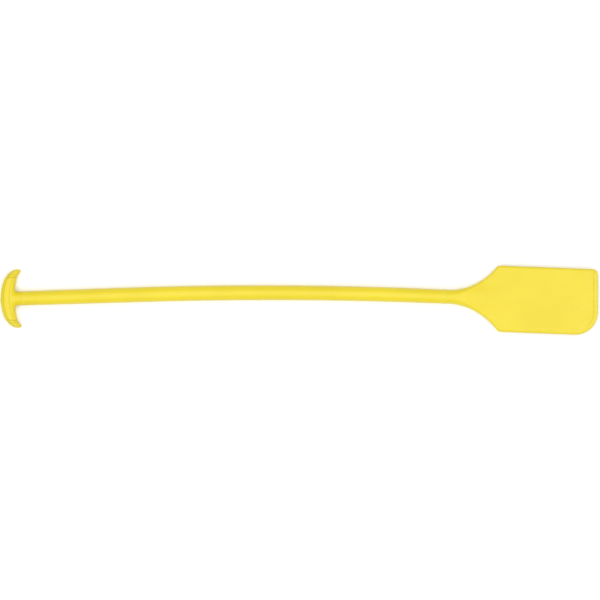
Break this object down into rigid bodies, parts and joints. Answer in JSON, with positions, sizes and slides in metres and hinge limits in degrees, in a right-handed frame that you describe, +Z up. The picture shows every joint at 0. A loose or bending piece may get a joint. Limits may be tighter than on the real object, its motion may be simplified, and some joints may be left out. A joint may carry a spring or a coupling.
{
  "type": "t-grip paddle",
  "caption": "Yellow T-grip paddle with a crescent grip, a slender slightly bowed shaft and a flat blade with one small and one large tip corner",
  "frame": {"origin": "middle of the bounding box in X and Y, on the floor the paddle lies on", "axes": "+X from the grip to the tip of the blade, +Y across the blade towards its small tip corner, +Z up, square to the blade's faces"},
  "size_m": [1.3209, 0.1528, 0.031],
  "materials": {
    "yellow_plastic": "satin",
    "white_nylon": "satin",
    "glass_fibre": "satin",
    "white_foam": "matte",
    "black_rubber": "matte",
    "stainless_steel": "satin",
    "insert_brass": "satin"
  },
  "bodies": {
    "root": {"t_grip": "yellow_plastic", "grip_button_cap": "yellow_plastic", "grip_screw": "stainless_steel", "grip_screw_washer": "stainless_steel", "grip_threaded_insert": "insert_brass", "grip_end_plug": "white_nylon", "grip_end_o_ring": "black_rubber", "shaft_jacket": "yellow_plastic", "core_tube": "glass_fibre", "shaft_foam_rod": "white_foam", "blade_front_shell": "yellow_plastic", "blade_back_shell": "yellow_plastic", "blade_foam_panel": "white_foam", "blade_end_plug": "white_nylon", "blade_end_o_ring": "black_rubber", "neck_screw_1": "stainless_steel", "neck_screw_2": "stainless_steel"}
  },
  "joints": []
}
